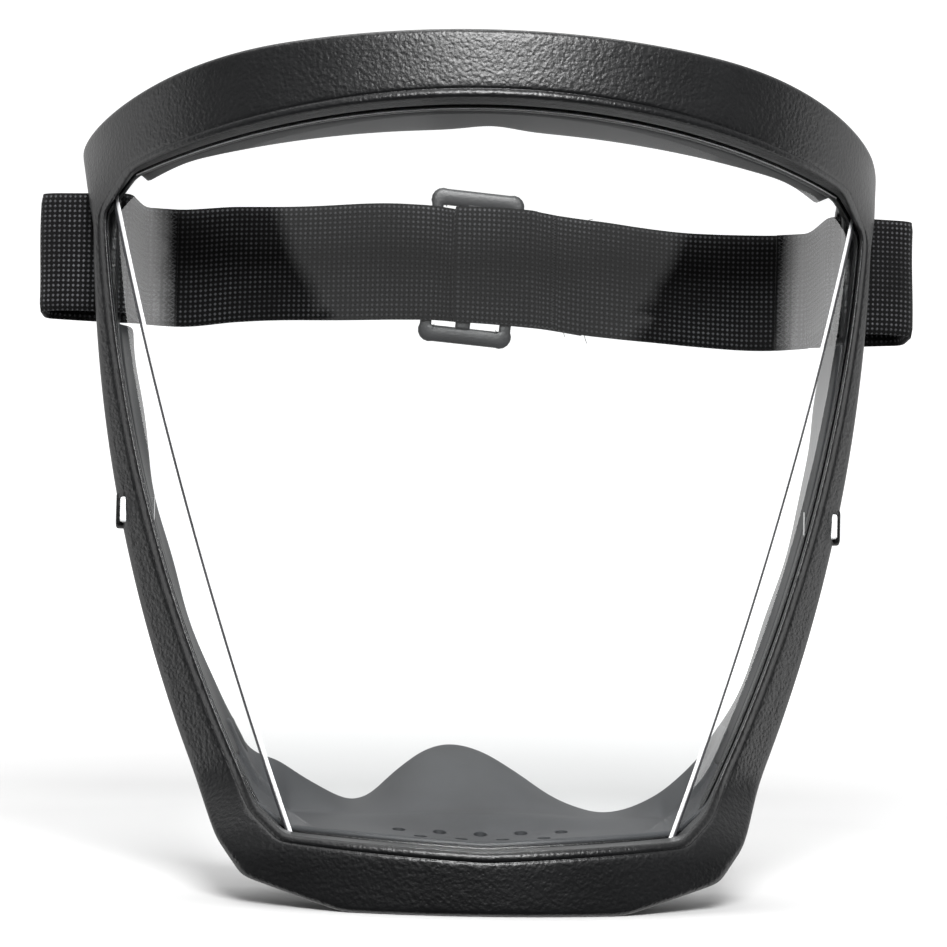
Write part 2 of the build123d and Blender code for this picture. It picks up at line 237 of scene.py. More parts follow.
def lens_depth(x, z):
    half = crease_half(z)
    sag = half * half / 250.0
    x = abs(x)
    if x < half:
        radius = (half * half + sag * sag) / (2 * sag)
        return LENS_SETBACK + radius - math.sqrt(radius * radius - x * x)
    return LENS_SETBACK + sag + (0.75 + 0.0012 * (z - 19.8)) * (x - half)


def brow_front(x):
    x = abs(x)
    if x <= 75.0:
        return BROW_RADIUS - math.sqrt(BROW_RADIUS ** 2 - x * x)
    radius = 46.5 / (math.sin(math.radians(80)) - 0.5)
    sine = min(0.9848, 0.5 + (x - 75.0) / radius)
    return 20.1 + radius * (math.cos(math.radians(30)) - math.sqrt(1 - sine * sine))


def chin_front(x):
    return BROW_RADIUS - math.sqrt(BROW_RADIUS ** 2 - x * x)


def front_depth(x, z):
    """The frame's front face."""
    rail = lens_depth(x, z) - FRAME_PROUD
    brow = brow_front(x)
    chin = min(rail, chin_front(x))
    depth = mix(rail, brow, smooth((z - 186) / 24))
    return mix(depth, chin, smooth((36 - z) / 22))


def half_stations():
    """Matched points of the frame's outline and of its window, from the brow's middle to the chin's."""
    crown, heading = turn_arc((0, 238), (1, 0), CROWN_END)
    corner, _ = turn_arc(CROWN_END, heading, TEMPLE)
    lip, _ = turn_arc(LIP_MIDDLE, (1, 0), LIP_END)
    rail = arc_through(RAIL_TOP, RAIL_MIDDLE, JAW)
    window = arc_through(WINDOW_SIDE_TOP, WINDOW_SIDE_MIDDLE, WINDOW_JAW)
    runs = [
        (crown + corner[1:], lip, 30),
        ([TEMPLE, RAIL_TOP], [LIP_END, WINDOW_SIDE_TOP], 6),
        (rail, window, 30),
        ([JAW, CHIN_CORNER], [WINDOW_JAW, WINDOW_CORNER], 4),
        ([CHIN_CORNER, CHIN_FLAT_END], [WINDOW_CORNER, WINDOW_FLAT_END], 6),
        ([CHIN_FLAT_END, (0, 0)], [WINDOW_FLAT_END, WINDOW_FOOT], 7),
    ]
    stations = []
    for outer, inner, count in runs:
        pairs = list(zip(even(outer, count), even(inner, count)))
        stations += pairs if not stations else pairs[1:]
    return stations


def all_stations():
    right = half_stations()
    left = [((-o[0], o[1]), (-w[0], w[1])) for o, w in reversed(right[1:-1])]
    return right + left


def frame_section(outer, window):
    """One section of the frame: round its back, outer wall, face, lip, inner wall and lens groove."""
    width = math.dist(outer, window)
    front = [
        (width, 5.0), (width, 1.7), (width - 0.3, 0.75), (width - 1.0, 0.15), (width - 2.0, 0.0),
        (mix(3.6, width, 0.62), 0.0), (mix(3.6, width, 0.3), 0.0),
        (3.7, 0.0), (3.1, 0.2), (2.8, 0.5), (2.5, 0.2), (1.9, -0.1), (1.1, -0.1),
        (0.5, 0.2), (0.2, 0.8), (0.2, 1.8),
    ]
    groove = [
        (0.45, -1.0), (0.5, -0.3), (3.4, -0.3), (3.4, 2.3), (0.4, 2.3), (0.1, 2.8),
        (0.1, 7.0), (0.6, 8.0), (width / 2, 8.0), (width - 0.8, 8.0), (width, 7.2),
    ]
    points = []
    for across, depth in front:
        x = mix(window[0], outer[0], across / width)
        z = mix(window[1], outer[1], across / width)
        points.append(at(x, front_depth(x, z) + depth, z))
    for across, depth in groove:
        x = mix(window[0], outer[0], across / width)
        z = mix(window[1], outer[1], across / width)
        rear = lens_depth(x, z) + depth
        if across > width / 3:
            rear = max(rear, front_depth(x, z) + 6.5)
        points.append(at(x, rear, z))
    return points


# ---------------------------------------------------------------- materials

def nodes_of(name):
    material = bpy.data.materials.new(name)
    material.use_nodes = True
    tree = material.node_tree
    return material, tree, tree.nodes["Principled BSDF"]


def math_node(tree, kind, a, b=None, clamp=False):
    node = tree.nodes.new("ShaderNodeMath")
    node.operation = kind
    node.use_clamp = clamp
    for socket, value in zip(node.inputs, (a, b)):
        if value is None:
            continue
        if isinstance(value, (int, float)):
            socket.default_value = value
        else:
            tree.links.new(value, socket)
    return node.outputs[0]


def noise_node(tree, scale, detail=4.0, vector=None, rough=0.55):
    node = tree.nodes.new("ShaderNodeTexNoise")
    node.inputs["Scale"].default_value = scale
    node.inputs["Detail"].default_value = detail
    node.inputs["Roughness"].default_value = rough
    if vector:
        tree.links.new(vector, node.inputs["Vector"])
    return node.outputs["Fac"]


def object_place(tree):
    return tree.nodes.new("ShaderNodeTexCoord").outputs["Object"]


def ramp(tree, value, stops):
    node = tree.nodes.new("ShaderNodeValToRGB")
    while len(node.color_ramp.elements) < len(stops):
        node.color_ramp.elements.new(0.5)
    for element, (place, colour) in zip(node.color_ramp.elements, stops):
        element.position = place
        element.color = (*colour, 1)
    tree.links.new(value, node.inputs["Fac"])
    return node.outputs["Color"]


def spread(tree, value, low, high):
    node = tree.nodes.new("ShaderNodeMapRange")
    node.inputs["To Min"].default_value = low
    node.inputs["To Max"].default_value = high
    tree.links.new(value, node.inputs["Value"])
    return node.outputs["Result"]


def bump(tree, height, strength, distance, shader):
    node = tree.nodes.new("ShaderNodeBump")
    node.inputs["Strength"].default_value = strength
    node.inputs["Distance"].default_value = distance
    tree.links.new(height, node.inputs["Height"])
    tree.links.new(node.outputs["Normal"], shader.inputs["Normal"])


def moulded(name, dark, light, rough, grain, depth, cells=900.0):
    """Moulded plastic or rubber with a fine leather grain and slight wear."""
    material, tree, shader = nodes_of(name)
    place = object_place(tree)
    cell = tree.nodes.new("ShaderNodeTexVoronoi")
    cell.feature = "SMOOTH_F1"
    cell.inputs["Scale"].default_value = cells
    tree.links.new(place, cell.inputs["Vector"])
    fine = noise_node(tree, cells * 1.6, 3.0, place)
    height = math_node(tree, "ADD", cell.outputs["Distance"], math_node(tree, "MULTIPLY", fine, 0.8))
    cloud = noise_node(tree, 28.0, 6.0, place)
    colour = ramp(tree, cloud, [(0.3, dark), (0.7, light)])
    tree.links.new(colour, shader.inputs["Base Color"])
    fine_share = math_node(tree, "MULTIPLY", fine, 0.6)
    speck = math_node(tree, "ADD", fine_share, math_node(tree, "MULTIPLY", cloud, 0.4))
    tree.links.new(spread(tree, speck, rough - 0.09, rough + 0.09), shader.inputs["Roughness"])
    shader.inputs["Specular IOR Level"].default_value = 0.4
    bump(tree, height, grain, depth, shader)
    return material


def webbing_material():
    """Woven elastic: small raised floats in diamonds, between darker ground threads. The diamond pattern is
    the weave; the floats' brightness is partly painted sheen and the dark ground partly painted shade between
    them.
    """
    material, tree, shader = nodes_of("webbing")
    uv = tree.nodes.new("ShaderNodeUVMap")
    uv.uv_map = "UVMap"
    parts = tree.nodes.new("ShaderNodeSeparateXYZ")
    tree.links.new(uv.outputs["UV"], parts.inputs["Vector"])
    u, v = parts.outputs["X"], parts.outputs["Y"]
    turn = math.pi / 1.5
    first = math_node(tree, "SINE", math_node(tree, "MULTIPLY", math_node(tree, "ADD", u, v), turn))
    second = math_node(tree, "SINE", math_node(tree, "MULTIPLY", math_node(tree, "SUBTRACT", u, v), turn))
    product = math_node(tree, "MULTIPLY", first, second)
    diamond = math_node(tree, "POWER", math_node(tree, "MAXIMUM", product, 0.0), 0.7)
    slant = math_node(tree, "ADD", math_node(tree, "MULTIPLY", u, 2.0), v)
    thread = math_node(tree, "SINE", math_node(tree, "MULTIPLY", slant, turn * 3))
    fuzz = noise_node(tree, 2400.0, 3.0, object_place(tree))
    patch = noise_node(tree, 60.0, 3.0, object_place(tree))
    fuzzy = math_node(tree, "ADD", math_node(tree, "MULTIPLY", fuzz, 1.3), 0.15)
    lit = math_node(tree, "MULTIPLY", diamond, fuzzy)
    lit = math_node(tree, "MULTIPLY", lit, math_node(tree, "ADD", patch, 0.4))
    # bright floats over dark ground: the weave's pattern plus painted sheen on the raised floats and painted
    # shade between them
    ground, dull, bright = (0.0015, 0.0015, 0.0017), (0.006, 0.006, 0.0065), (0.10, 0.102, 0.108)
    colour = ramp(tree, lit, [(0.0, ground), (0.3, dull), (0.9, bright)])
    tree.links.new(colour, shader.inputs["Base Color"])
    tree.links.new(spread(tree, fuzz, 0.62, 0.95), shader.inputs["Roughness"])
    shader.inputs["Sheen Weight"].default_value = 0.03
    shader.inputs["Sheen Roughness"].default_value = 0.5
    shader.inputs["Specular IOR Level"].default_value = 0.12
    height = math_node(tree, "ADD", diamond, math_node(tree, "MULTIPLY", thread, 0.15))
    bump(tree, height, 0.7, 0.00035, shader)
    return material


def thread_material():
    material, tree, shader = nodes_of("thread")
    twist = noise_node(tree, 3000.0, 2.0, object_place(tree))
    colour = ramp(tree, twist, [(0.3, (0.012, 0.012, 0.013)), (0.75, (0.05, 0.05, 0.053))])
    tree.links.new(colour, shader.inputs["Base Color"])
    tree.links.new(spread(tree, twist, 0.45, 0.75), shader.inputs["Roughness"])
    bump(tree, twist, 0.4, 0.0001, shader)
    return material


def clear_material(name):
    """Polished polycarbonate: it lets light through and reflects more towards grazing angles."""
    material, tree, shader = nodes_of(name)
    place = object_place(tree)
    haze = noise_node(tree, 18.0, 5.0, place)
    shader.inputs["Base Color"].default_value = (0.95, 0.96, 0.965, 1)
    shader.inputs["Metallic"].default_value = 0.0
    tree.links.new(spread(tree, haze, 0.02, 0.05), shader.inputs["Roughness"])
    gloss = tree.nodes.new("ShaderNodeBsdfGlossy")
    gloss.inputs["Color"].default_value = (1, 1, 1, 1)
    tree.links.new(spread(tree, haze, 0.015, 0.04), gloss.inputs["Roughness"])
    through_it = tree.nodes.new("ShaderNodeBsdfTransparent")
    through_it.inputs["Color"].default_value = (0.985, 0.99, 0.99, 1)
    fresnel = tree.nodes.new("ShaderNodeFresnel")
    fresnel.inputs["IOR"].default_value = 1.5
    outside = math_node(tree, "SUBTRACT", 1.0, tree.nodes.new("ShaderNodeNewGeometry").outputs["Backfacing"])
    outside = math_node(tree, "MULTIPLY", outside, 1.9)
    facing = math_node(tree, "MULTIPLY", fresnel.outputs["Fac"], outside, clamp=True)
    both = tree.nodes.new("ShaderNodeMixShader")
    tree.links.new(facing, both.inputs["Fac"])
    tree.links.new(through_it.outputs["BSDF"], both.inputs[1])
    tree.links.new(gloss.outputs["BSDF"], both.inputs[2])
    tree.links.new(both.outputs["Shader"], tree.nodes["Material Output"].inputs["Surface"])
    return material


FRAME_PLASTIC = moulded("frame_plastic", (0.003, 0.0031, 0.0034), (0.006, 0.0062, 0.0067), 0.36, 0.34, 0.0004)
SEAL_RUBBER = moulded("seal_rubber", (0.012, 0.0125, 0.0135), (0.020, 0.021, 0.0225), 0.42, 0.10,
                      0.0002, 1400.0)
CUP_RUBBER = moulded("cup_rubber", (0.030, 0.031, 0.033), (0.050, 0.052, 0.056), 0.52, 0.15, 0.0002, 1500.0)
SLIDER_PLASTIC = moulded("slider_plastic", (0.016, 0.0165, 0.0175), (0.028, 0.029, 0.031), 0.38, 0.15,
                         0.0002, 1100.0)
WEBBING = webbing_material()
THREAD = thread_material()
CLEAR = clear_material("clear_polycarbonate")
# painted shade: the dark strip along each lens fold
CREASE_PAINTED_SHADE = moulded("crease_shadow", (0.02, 0.02, 0.022), (0.05, 0.05, 0.055), 0.3, 0.02, 0.0001)
# painted highlight: near-white, used for the fold strips, the snap tabs and the lens rim
PAINTED_HIGHLIGHT = moulded("crease_painted_highlight", (0.82, 0.83, 0.84), (0.93, 0.93, 0.94), 0.15, 0.02, 0.0001)


# ---------------------------------------------------------------- frame, lugs and bosses

def outer_frame():
    stations = all_stations()
    verts = []
    for outer, window in stations:
        verts += frame_section(outer, window)
    columns = len(verts) // len(stations)
    faces = grid_faces(len(stations), columns, True, True)
    obj = new_object("frame_moulding", verts, faces, FRAME_PLASTIC, "shield", ["outer_frame"])
    return subdivide(outward(obj), 2)


def rounded_loop(half_u, half_v, corner, count=6):
    """A rounded rectangle, as points and the directions outwards from it."""
    points = []
    for quarter, (su, sv) in enumerate(((1, 1), (-1, 1), (-1, -1), (1, -1))):
        for n in range(count + 1):
            a = math.pi / 2 * (quarter + n / count)
            out = (math.cos(a), math.sin(a))
            points.append((su * (half_u - corner) + corner * out[0],
                           sv * (half_v - corner) + corner * out[1], out))
    return points


def bar_section(wide, thick, round_by, count=3):
    """A rounded bar's section: outwards from the loop, and across it."""
    return [(u, v) for u, v, _ in rounded_loop(wide / 2, thick / 2, round_by, count)]


def ring_mesh(loop, section, place):
    verts = []
    for u, v, (ou, ov) in loop:
        for out, across in section:
            verts.append(place(u + out * ou, v + out * ov, across))
    return verts, grid_faces(len(loop), len(section), True, True)


def bar_mesh(ends, section, place, start):
    """A straight bar between two (u, v) points, closed at both ends."""
    (u0, v0), (u1, v1) = ends
    verts, count = [], len(section)
    for t in (0.0, 0.02, 0.5, 0.98, 1.0):
        for out, across in section:
            verts.append(place(mix(u0, u1, t) + out, mix(v0, v1, t), across))
    return verts, grid_faces(5, count, False, True, start) + end_caps(start, count, 5)


def lug(side):
    """The strap lug: a rounded plate behind the temple, open for the webbing."""
    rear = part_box("outer_frame")[1].y / MM - FRONT
    half_tall = STRAP_TALL / 2 + 1.2 + 3.6 / 2
    front = SLOT_DEPTH - 2.2 - 2.6
    middle = (front + rear - 1.9) / 2
    half_deep = (rear - 1.9 - front) / 2
    x = LUG_X - 1.6
    loop = rounded_loop(half_deep, half_tall, 3.0)
    section = bar_section(3.8, 3.2, 1.1)

    def place(u, v, across):
        return at(side * (x + across), middle + u, STRAP_MIDDLE + v)

    verts, faces = ring_mesh(loop, section, place)
    outward(new_object(side_name(side) + "_lug", verts, faces, FRAME_PLASTIC, "shield"))
    # two ribs carry the lug from the rail
    ribs, rib_faces = [], []
    for lift in (-1, 1):
        z = STRAP_MIDDLE + lift * half_tall
        rail = lens_depth(x, z) + 4.0
        start = len(ribs)
        for t in (0.0, 0.1, 0.9, 1.0):
            for out, across in bar_section(3.6, 3.2, 1.0):
                ribs.append(at(side * (x + across), mix(rail, front + 1.0, t), z + out))
        count = len(bar_section(3.6, 3.2, 1.0))
        rib_faces += grid_faces(4, count, False, True, start) + end_caps(start, count, 4)
    outward(new_object(side_name(side) + "_lug_ribs", ribs, rib_faces, FRAME_PLASTIC, "shield"))


def rail_half(z):
    """Half-width of the rail's outer edge."""
    points = arc_through(RAIL_TOP, RAIL_MIDDLE, JAW, 80)
    below = min(points, key=lambda p: abs(p[1] - z))
    return below[0]


def boss(side):
    """The collar round the lens's snap tab."""
    z = BOSS_HEIGHT
    outer = rail_half(z) + 1.0
    depth = lens_depth(rail_half(z) - 2.0, z) + 0.6
    loop = rounded_loop(2.3, 4.7, 1.4)
    section = bar_section(1.6, 5.0, 0.7)

    def place(u, v, across):
        return at(side * (outer - 2.5 + across), depth + u, z + v)

    verts, faces = ring_mesh(loop, section, place)
    obj = new_object(side_name(side) + "_boss", verts, faces, FRAME_PLASTIC, "shield")
    return subdivide(outward(obj), 1)


def snap_tab(side):
    """The end of the lens's tab, standing in the boss's slot, coloured near-white: a painted highlight in
    place of the clear plastic.
    """
    z = BOSS_HEIGHT
    outer = rail_half(z)
    depth = lens_depth(outer - 2.0, z) - 3.0
    loop = rounded_loop(1.05, 3.6, 0.6, 3)
    verts = []
    for across, shrink in ((-1.6, 1.0), (1.2, 1.0), (1.5, 0.8)):
        for u, v, _ in loop:
            verts.append(at(side * (outer - 1.6 + u * 1.2), depth - across * 0.5, z + v * shrink))
    count = len(loop)
    faces = grid_faces(3, count, False, True) + end_caps(0, count, 3)
    # near-white colour: painted highlight on the tab
    return outward(new_object(side_name(side) + "_snap_tab", verts, faces, PAINTED_HIGHLIGHT, "shield"))


# ---------------------------------------------------------------- lens

def crease(side, name, offset, width, material):
    """A narrow strip along the fold of the lens, standing just proud of its front, in one flat colour: the
    dark strip is painted shade and the light one a painted highlight, in place of the lines the bent lens
    shows there.
    """
    verts = []
    count = 60
    for n in range(count + 1):
        z = mix(17.5, 206.0, n / count)
        x = crease_half(z) + offset
        for across, proud in ((-width / 2, 0.02), (-width / 4, 0.16), (width / 4, 0.16), (width / 2, 0.02)):
            xx = x + across
            verts.append(at(side * xx, lens_depth(xx, z) - proud, z))
    faces = grid_faces(count + 1, 4)
    obj = new_object(name, verts, faces, material, "shield")
    return outward(obj)


def lens_rim():
    """A near-white strip along the edge of the lens under the brow: a painted highlight for the bright line
    that shows there.
    """
    lip, _ = turn_arc(LIP_MIDDLE, (1, 0), LIP_END)
    right = even(lip, 50)
    points = [(-x, z) for x, z in reversed(right[1:])] + right
    verts = []
    for x, z in points:
        for down, proud in ((0.25, 0.25), (0.4, 0.38), (0.6, 0.25), (0.6, 0.05)):
            verts.append(at(x, lens_depth(x, z) - proud, z - down))
    # painted highlight along the lens's top edge
    obj = new_object("lens_rim", verts, grid_faces(len(points), 4), PAINTED_HIGHLIGHT, "shield")
    return outward(obj)


# ---------------------------------------------------------------- seal and chin cup

def skirt(name, stations, columns, node, material, wall=1.8):
    """A soft wall from the window's edge back to its free rim."""
    verts = []
    for station in stations:
        for n in range(columns + 1):
            verts.append(station(n / columns))
    faces = grid_faces(len(stations), columns + 1)
    obj = new_object(name, verts, faces, material, "shield", [node])
    outward(obj)
    m = obj.modifiers.new("wall", "SOLIDIFY")
    m.thickness = wall * MM
    m.offset = 0.0
    m.use_rim = True
    return subdivide(obj, 1)


def window_half():
    lip, _ = turn_arc(LIP_MIDDLE, (1, 0), LIP_END)
    rail = arc_through((109.5, 193.6), (92.4, 100), WINDOW_JAW)
    return even(lip, 40), even(rail, 44)


def brow_skirt():
    """The seal under the brow: back to the forehead, with a small notch at its middle."""
    lip, _ = window_half()
    points = [(-x, z) for x, z in reversed(lip[1:])] + lip

    def station(x, z):
        front = lens_depth(x, z) + 7.0
        rear = 54.0 + 3.0 * abs(x) / 100 - 10.0 * math.exp(-(x / 9.0) ** 2) * 0.7
        rear += 22.0 * smooth((abs(x) - 82) / 26) ** 1.5
        rear = max(rear, front + 6)

        def point(t):
            inward = 1.6 + 0.5 * t
            return at(x * (1 - 0.012 * t), mix(front, rear, t), z + inward - 0.3)
        return point

    return skirt("brow_seal_skin", [station(x, z) for x, z in points], 6, "brow_seal", SEAL_RUBBER)


def cheek_skirt(side):
    """The seal down one cheek, with a wavy free edge."""
    _, rail = window_half()
    points = [p for p in rail if 36 < p[1] < 165]
    waves = [(40, 3.4), (52, 1.2), (62, 0.6), (90, 0.3), (112, 0.5), (128, 1.4), (142, 2.4), (156, 2.2),
             (170, 2.6)]

    def station(x, z):
        front = lens_depth(x, z) + 6.5
        reach = 12.0 + 1.2 * math.sin(z / 7.0 + side)
        inset = through(waves, z) + 0.5 * math.sin(z / 6.0 + 1.3 * side)

        def point(t):
            return at(side * (x + 1.2 - (inset + 1.0) * t * t), front + reach * t, z)
        return point

    name = side_name(side) + "_cheek_seal"
    return skirt(name + "_skin", [station(x, z) for x, z in points], 5, name, SEAL_RUBBER)


RIM = [
    (-78, 55), (-72, 46), (-65, 38.5), (-57, 35.5), (-48, 30), (-37, 24.5), (-30, 25.5), (-22, 32),
    (-14, 37.2), (-6, 39), (3, 37.3), (12, 32.5), (22, 26), (30, 22.8), (37, 21.6), (45, 23.2),
    (54, 28), (62, 35), (70, 44), (78, 55),
]
RIM_DEPTH = [
    (-78, 54), (-60, 56), (-38, 58), (-22, 74), (-6, 86), (10, 76), (30, 60), (60, 56), (78, 54),
]


def cup_skirt():
    """The chin cup: a dished floor with vents, a soft ridge, and a wavy rear rim with a tongue."""
    _, rail = window_half()
    side = [p for p in rail if p[1] < 50]
    foot = even([WINDOW_JAW, WINDOW_CORNER], 5)[1:] + even([WINDOW_CORNER, WINDOW_FOOT], 24)[1:]
    right = side + foot
    points = right + [(-x, z) for x, z in reversed(right[:-1])]

    def station(x, z):
        front = lens_depth(x, z) + 2.6
        rise = smooth((abs(x) - 52) / 14)
        rim_x = x * mix(1.02, 0.985, rise)
        rim_z = mix(through(RIM, rim_x), max(through(RIM, rim_x), z + 1), rise)
        rim_depth = max(through(RIM_DEPTH, rim_x), front + 12)
        ridge = mix(44.0, front + 10, rise)
        floor = 17.2 + (z - 17) * 0.9
        tuck = 1.0 + 1.2 * rise

        def point(t):
            if t < 0.55:
                s = t / 0.55
                dish = 1.0 - smooth(abs(x) / 44)
                lift = mix(2.0 * s, 5.2 * smooth((s - 0.35) / 0.6), dish)
                across = mix(x + math.copysign(tuck, x) * rise, rim_x, 0.3 * s)
                return at(across, mix(front, ridge, s), floor + lift * (1 - rise) + rise * s * 3)
            s = (t - 0.55) / 0.45
            base = floor + mix(mix(2.0, 5.2, 1.0 - smooth(abs(x) / 44)), 3.0, rise)
            up = mix(s ** 1.35, math.sin(s * math.pi / 2), 0.35)
            return at(mix(x, rim_x, 0.3 + 0.7 * s), mix(ridge, rim_depth, s), mix(base, rim_z, up))
        return point

    return skirt("chin_cup_skin", [station(x, z) for x, z in points], 26, "chin_cup", CUP_RUBBER, 2.0)


def cut_vents(cup):
    """Nine round vents through the floor: four in the front row and five behind them."""
    verts, faces = [], []
    sides = 20
    for count, depth in VENT_ROWS:
        for k in range(count):
            x = (k - (count - 1) / 2) * VENT_PITCH
            start = len(verts)
            for z in (10.0, 32.0):
                for n in range(sides):
                    a = 2 * math.pi * n / sides
                    verts.append(at(x + VENT_RADIUS * math.cos(a), depth + VENT_RADIUS * math.sin(a), z))
            faces += grid_faces(2, sides, False, True, start) + end_caps(start, sides, 2)
    mesh = bpy.data.meshes.new("vent_cutter")
    mesh.from_pydata([tuple(v) for v in verts], [], faces)
    cutter = bpy.data.objects.new("vent_cutter", mesh)
    bpy.context.scene.collection.objects.link(cutter)
    outward(cutter)
    cut = cup.modifiers.new("vents", "BOOLEAN")
    cut.operation = "DIFFERENCE"
    cut.object = cutter
    cut.solver = "EXACT"
    bpy.context.view_layer.update()
    made = bpy.data.meshes.new_from_object(cup.evaluated_get(bpy.context.evaluated_depsgraph_get()))
    cup.modifiers.clear()
    cup.data = made
    bpy.data.objects.remove(cutter)
    return cup


# ---------------------------------------------------------------- strap

def curve_points(knots, step=0.8):
    """Points along a smooth line through plan knots (x, depth)."""
    curve = bpy.data.curves.new("route", "CURVE")
    curve.dimensions = "3D"
    spline = curve.splines.new("NURBS")
    spline.points.add(len(knots) - 1)
    for point, (x, depth) in zip(spline.points, knots):
        point.co = (x, depth, 0, 1)
    spline.use_endpoint_u = True
    spline.order_u = 3
    spline.resolution_u = 12
    holder = bpy.data.objects.new("route", curve)
    bpy.context.scene.collection.objects.link(holder)
    bpy.context.view_layer.update()
    mesh = bpy.data.meshes.new_from_object(holder)
    line = [(v.co.x, v.co.y) for v in mesh.vertices]
    bpy.data.objects.remove(holder)
    bpy.data.curves.remove(curve)
    bpy.data.meshes.remove(mesh)
    length = sum(math.dist(a, b) for a, b in zip(line, line[1:]))
    return even(line, max(8, int(length / step)))


DROOP = [(-135, -0.5), (-92, -1.8), (-74, -0.1), (-49, 1.1), (-24, 2.3), (18, 1.5), (37, -1.1), (50, -2.5),
         (68, -3.8), (90, -4.0), (135, -1.2)]


def strap_shift(x, depth=200.0):
    """How far the webbing hangs below or above its middle line; less where a lug holds it."""
    return through(DROOP, x) * smooth((depth - SLOT_DEPTH) / (STRAP_DEPTH - SLOT_DEPTH))


def webbing(name, knots, replaced):
    """A length of flat webbing along a plan route, with rounded selvages and a cut end."""
    route = curve_points(knots)
    across = 14
    verts, uvs = [], []
    length = 0.0
    last = route[0]
    ring = []
    for n in range(across + 1):
        ring.append((n / across, 1))
    for n in range(across, -1, -1):
        ring.append((n / across, -1))
    for k, (x, depth) in enumerate(route):
        a, b = route[max(0, k - 1)], route[min(len(route) - 1, k + 1)]
        tx, ty = b[0] - a[0], b[1] - a[1]
        size = math.hypot(tx, ty)
        nx, ny = -ty / size, tx / size
        length += math.dist(last, (x, depth))
        last = (x, depth)
        wave = 0.25 * math.sin(length / 9.0)
        for t, face in ring:
            edge = min(t, 1 - t)
            thick = WEB / 2 * (0.45 + 0.55 * smooth(edge / 0.06))
            height = STRAP_LOW + strap_shift(x, depth) + mix(-wave, STRAP_TALL + wave, t)
            buckle = 0.25 * math.sin(length / 13.0 + 5 * t)
            verts.append(at(x + nx * (face * thick + buckle), depth + ny * (face * thick + buckle), height))
            uvs.append((length, t * STRAP_TALL))
    count = len(ring)
    faces = grid_faces(len(route), count, False, True) + end_caps(0, count, len(route))
    obj = new_object(name, verts, faces, WEBBING, None, uvs=uvs)
    outward(obj)
    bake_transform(obj)
    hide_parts(*replaced)
    return obj


def loop_knots(side):
    """Route of the webbing round one lug, from its sewn end to the back run."""
    lug_x = LUG_X
    inner = lug_x - 3.2 - 2.2
    run_end = lug_x - 9
    layer = WEB + 0.1
    points = [
        (run_end - 10, STRAP_DEPTH - layer), (run_end - 3, STRAP_DEPTH - layer),
        (run_end, STRAP_DEPTH - layer),
        (inner - 1.5, (SLOT_DEPTH + STRAP_DEPTH) / 2), (inner, SLOT_DEPTH + 0.3), (lug_x - 1.6, SLOT_DEPTH),
        (lug_x + 6, SLOT_DEPTH), (LOOP_OUT - 0.7, SLOT_DEPTH + 2.5), (LOOP_OUT - 0.7, SLOT_DEPTH + 9),
        (LOOP_OUT - 0.7, STRAP_DEPTH - 0.4), (LOOP_OUT - 5.5, STRAP_DEPTH), (LOOP_OUT - 14, STRAP_DEPTH),
        (run_end + 6, STRAP_DEPTH), (run_end, STRAP_DEPTH),
    ]
    return [(side * x, y) for x, y in points]


def strap():
    for side, name in ((-1, "left"), (1, "right")):
        webbing(name + "_webbing_loop", loop_knots(side), [name + "_strap_loop"])
    slider_low, slider_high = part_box("strap_slider")
    plate = slider_low.y / MM - FRONT
    behind = plate + 2.4 + 0.3 + 0.7
    tail = behind + WEB + 0.1
    right = slider_high.x / MM
    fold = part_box("folded_strap_end")[0].x / MM + 0.7
    run = LUG_X - 9
    tail_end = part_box("left_strap_tail")[1].x / MM
    knots = [(x, STRAP_DEPTH) for x in (-run, -run + 14, -70, -40, -22, fold - 7)]
    knots += [(fold - 2.5, (STRAP_DEPTH + tail) / 2), (fold + 2, tail), (8, tail), (18, tail),
              (tail_end, tail + 0.1)]
    webbing("left_webbing_back", knots, ["left_strap_back", "left_strap_tail"])
    front_layer = behind - WEB - 0.1
    knots = [(x, STRAP_DEPTH) for x in (run, run - 14, 70, 50, 40)]
    knots += [(34, STRAP_DEPTH + 2)]
    knots += [(x, behind) for x in (27, 18, 8, fold + 3, fold)]
    knots += [(fold, (behind + STRAP_DEPTH) / 2)]
    knots += [(x, STRAP_DEPTH) for x in (fold, fold + 3, 8, right, right + 3)]
    knots += [(right + 5.5, front_layer), (right + 11, front_layer)]
    webbing("right_webbing_back", knots, ["right_strap_back", "right_strap_end", "folded_strap_end"])


def slider():
    """The tri-glide: a rounded frame and a centre bar, turned a little on the strap."""
    low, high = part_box("strap_slider")
    middle_x = (low.x + high.x) / 2 / MM
    middle_depth = (low.y + high.y) / 2 / MM - FRONT
    middle_z = (low.z + high.z) / 2 / MM
    half_x, half_z = (high.x - low.x) / 2 / MM, (high.z - low.z) / 2 / MM
    middle_z += 1.2
    half_x *= 0.88
    tilt = math.radians(4.6)

    def place(u, v, across):
        return at(middle_x + u * math.cos(tilt) + v * math.sin(tilt), middle_depth + across,
                  middle_z - u * math.sin(tilt) + v * math.cos(tilt))

    side_bar, end_bar = 3.6, 5.0
    verts, faces = [], []
    loop = rounded_loop(half_x - side_bar / 2, half_z - end_bar / 2, 2.6)
    section = bar_section(1.0, 2.4, 0.45)
    for u, v, (ou, ov) in loop:
        wide = side_bar * abs(ou) + end_bar * abs(ov)
        for out, across in section:
            verts.append(place(u + out * wide * ou * 0.98, v + out * wide * ov * 0.98, across))
    faces = grid_faces(len(loop), len(section), True, True)
    bar_u = -0.8
    reach = half_z - end_bar + 0.6
    ends = ((bar_u, -reach), (bar_u, reach))
    more, more_faces = bar_mesh(ends, bar_section(4.6, 2.3, 0.7), place, len(verts))
    obj = new_object("tri_glide", verts + more, faces + more_faces, SLIDER_PLASTIC, "slider",
                     ["strap_slider"])
    return outward(obj)


